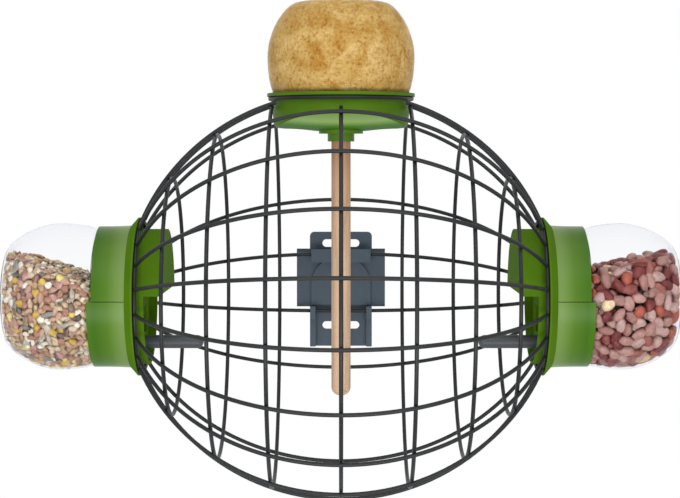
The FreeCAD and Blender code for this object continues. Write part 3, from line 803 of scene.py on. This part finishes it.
class OBJECT_OT_feeder_jars(bpy.types.Operator):
    """Finishes the clear jars"""

    bl_idname = "object.feeder_jars"
    bl_label = "Jars"

    def execute(self, context):
        paint(["top_jar", "left_jar", "right_jar"], clear_pet())
        return {"FINISHED"}


class OBJECT_OT_feeder_suet(bpy.types.Operator):
    """Fills the top jar with suet"""

    bl_idname = "object.feeder_suet"
    bl_label = "Suet"

    def execute(self, context):
        suet_block(rendered_fat(tuple(context.scene.feeder_colours.suet)))
        return {"FINISHED"}


class OBJECT_OT_feeder_seed(bpy.types.Operator):
    """Fills the left jar with mixed seed"""

    bl_idname = "object.feeder_seed"
    bl_label = "Mixed seed"

    def execute(self, context):
        sizes = context.scene.feeder_sizes
        fill = tuple(sizes.left_fill)
        rng = np.random.default_rng(SEED_DRAW)
        spacings = (sizes.seed_spacing, sizes.seed_spacing)
        insets = (SEED_INSET, SEED_BEHIND * SEED_INSET)
        points, normals = two_layers(LEFT, fill, spacings, insets, rng)
        share = np.array([kind[1] for kind in SEED_KINDS])
        pick = rng.choice(len(SEED_KINDS), len(points), p=share / share.sum())
        # Painted shade: the seed heap's inside is dark brown, for the shade in the gaps between seeds.
        core = husk("seed_heap_shade", ("#82684f", "#82684f"), streak=0.5, rough=0.8)
        heap_core("left_seed_heap", LEFT, fill, SEED_CORE, core,
                  "left_feeder", "left_seed")
        for k, (name, _, half_mm, taper, dent, codes, streak) in enumerate(SEED_KINDS):
            mine = pick == k
            vertices, quads, tris, tone = loose_kernels(points[mine], normals[mine], half_mm, taper, dent,
                                                        rng, **SEED_FORM)
            skin = husk(name + "_skin", codes, streak, rough=0.55)
            put_mesh(name, press_to_wall(vertices, LEFT), quads, tris, skin,
                     "left_feeder", tone)
        return {"FINISHED"}


class OBJECT_OT_feeder_peanuts(bpy.types.Operator):
    """Fills the right jar with red-skin peanuts"""

    bl_idname = "object.feeder_peanuts"
    bl_label = "Peanuts"

    def execute(self, context):
        sizes = context.scene.feeder_sizes
        fill = tuple(sizes.right_fill)
        rng = np.random.default_rng(NUT_DRAW)
        spacings = (sizes.nut_spacing, NUT_SPREAD * sizes.nut_spacing)
        insets = (NUT_INSET, NUT_BEHIND * NUT_INSET)
        points, normals = two_layers(RIGHT, fill, spacings, insets, rng)
        core = husk("peanut_shadow", ("#332a29", "#332a29"), streak=0.6, rough=0.8)
        heap_core("right_peanut_heap", RIGHT, fill, NUT_CORE, core,
                  "right_feeder", "right_peanuts")
        bare = rng.uniform(0, 1, len(points)) < BARE_SHARE
        kinds = (
            ("right_skinned_nuts", ~bare, SKINNED_CODES, 0.7),
            ("right_bare_nuts", bare, BARE_CODES, 0.75),
        )
        for name, mine, codes, streak in kinds:
            vertices, quads, tris, tone = loose_kernels(points[mine], normals[mine], NUT_HALVES, NUT_TAPER,
                                                        NUT_DENT, rng, **NUT_FORM)
            skin = husk(name + "_skin", codes, streak, rough=0.5)
            put_mesh(name, press_to_wall(vertices, RIGHT), quads, tris, skin,
                     "right_feeder", tone)
        return {"FINISHED"}


class OBJECT_OT_feeder_stage(bpy.types.Operator):
    """Sets the pale floor, the soft light and the camera"""

    bl_idname = "object.feeder_stage"
    bl_label = "Stage"

    def execute(self, context):
        sizes = context.scene.feeder_sizes
        scene = context.scene
        scene.view_settings.view_transform = "Standard"
        self.world(scene)
        self.floor(scene)
        for name, place, size, power in LAMPS:
            self.lamp(scene, name, place, size, power)
        view = bpy.data.cameras.new("photo_camera")
        view.lens = sizes.lens
        view.sensor_width = SENSOR_WIDTH
        camera = bpy.data.objects.new("photo_camera", view)
        camera.location = (CAMERA_X, CAGE_Y - sizes.distance * math.cos(sizes.elevation),
                           sizes.distance * math.sin(sizes.elevation))
        camera.rotation_euler = (math.pi / 2 - sizes.tilt, 0.0, 0.0)
        scene.collection.objects.link(camera)
        scene.camera = camera
        return {"FINISHED"}

    @staticmethod
    def world(scene):
        """Even pale light; white where the camera, gloss or clear walls look straight at it."""
        scene.world = bpy.data.worlds.new("studio")
        scene.world.use_nodes = True
        tree = scene.world.node_tree
        tree.nodes.clear()
        path = add(tree, "ShaderNodeLightPath")
        direct = add(tree, "ShaderNodeMath", links={0: (path, "Is Camera Ray"), 1: (path, "Is Glossy Ray")},
                     operation="MAXIMUM")
        seen = add(tree, "ShaderNodeMath", links={0: (direct, 0), 1: (path, "Is Transmission Ray")},
                   operation="MAXIMUM")
        soft = add(tree, "ShaderNodeBackground", {"Color": (0.96, 0.98, 1.0, 1.0), "Strength": 0.62})
        white = add(tree, "ShaderNodeBackground", {"Color": WHITE, "Strength": 1.0})
        mixed = add(tree, "ShaderNodeMixShader", links={0: (seen, 0), 1: (soft, 0), 2: (white, 0)})
        out = tree.nodes.new("ShaderNodeOutputWorld")
        tree.links.new(mixed.outputs[0], out.inputs[0])

    @staticmethod
    def floor(scene):
        """Round pale floor well below the feeder: points (R cos t, R sin t) at one height."""
        t = circle(FLOOR_SIDES)
        rim = np.stack([FLOOR_R * np.cos(t), CAGE_Y + FLOOR_R * np.sin(t), np.full(len(t), FLOOR_Z)], -1)
        mesh = bpy.data.meshes.new("floor")
        mesh.from_pydata(rim.tolist(), [], [list(range(len(t)))])
        made, tree, output = new_material("pale_floor")
        principled(tree, output, {"Base Color": linear("#f4f4f2"), "Roughness": 0.9})
        mesh.materials.append(made)
        piece = bpy.data.objects.new("floor", mesh)
        scene.collection.objects.link(piece)

    @staticmethod
    def lamp(scene, name, place, size, power):
        """Rectangular soft lamp aimed at the cage."""
        light = bpy.data.lights.new(name, "AREA")
        light.shape = "RECTANGLE"
        light.size, light.size_y = size
        light.energy = power
        lamp = bpy.data.objects.new(name, light)
        scene.collection.objects.link(lamp)
        aim = np.array(LAMP_AIM) - np.array(place)
        yaw = math.atan2(aim[1], aim[0]) - math.pi / 2
        pitch = math.atan2(aim[2], math.hypot(aim[0], aim[1])) + math.pi / 2
        lamp.location = place
        lamp.rotation_euler = (pitch, 0.0, yaw)


class VIEW3D_PT_feeder(bpy.types.Panel):
    """Lists the feeder's pieces, sizes and colours"""

    bl_idname = "VIEW3D_PT_feeder"
    bl_label = "Feeder"
    bl_space_type = "VIEW_3D"
    bl_region_type = "UI"
    bl_category = "Feeder"

    def draw(self, context):
        for group in (context.scene.feeder_sizes, context.scene.feeder_colours):
            for name in group.__annotations__:
                self.layout.prop(group, name)
        for operator in OPERATORS:
            self.layout.operator(operator.bl_idname)


OPERATORS = (
    OBJECT_OT_feeder_cage,
    OBJECT_OT_feeder_holders,
    OBJECT_OT_feeder_bracket,
    OBJECT_OT_feeder_perches,
    OBJECT_OT_feeder_jars,
    OBJECT_OT_feeder_suet,
    OBJECT_OT_feeder_seed,
    OBJECT_OT_feeder_peanuts,
    OBJECT_OT_feeder_stage,
)
CLASSES = (FeederColours, FeederSizes) + OPERATORS + (VIEW3D_PT_feeder,)


def register():
    """Registers the classes and hangs the settings on the scene."""
    for cls in CLASSES:
        bpy.utils.register_class(cls)
    bpy.types.Scene.feeder_colours = bpy.props.PointerProperty(type=FeederColours)
    bpy.types.Scene.feeder_sizes = bpy.props.PointerProperty(type=FeederSizes)


def unregister():
    """Takes the settings and classes away again."""
    del bpy.types.Scene.feeder_sizes
    del bpy.types.Scene.feeder_colours
    for cls in reversed(CLASSES):
        bpy.utils.unregister_class(cls)


def main():
    """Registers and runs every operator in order."""
    register()
    bpy.ops.object.feeder_cage()
    bpy.ops.object.feeder_holders()
    bpy.ops.object.feeder_bracket()
    bpy.ops.object.feeder_perches()
    bpy.ops.object.feeder_jars()
    bpy.ops.object.feeder_suet()
    bpy.ops.object.feeder_seed()
    bpy.ops.object.feeder_peanuts()
    bpy.ops.object.feeder_stage()


if __name__ == "__main__":
    main()
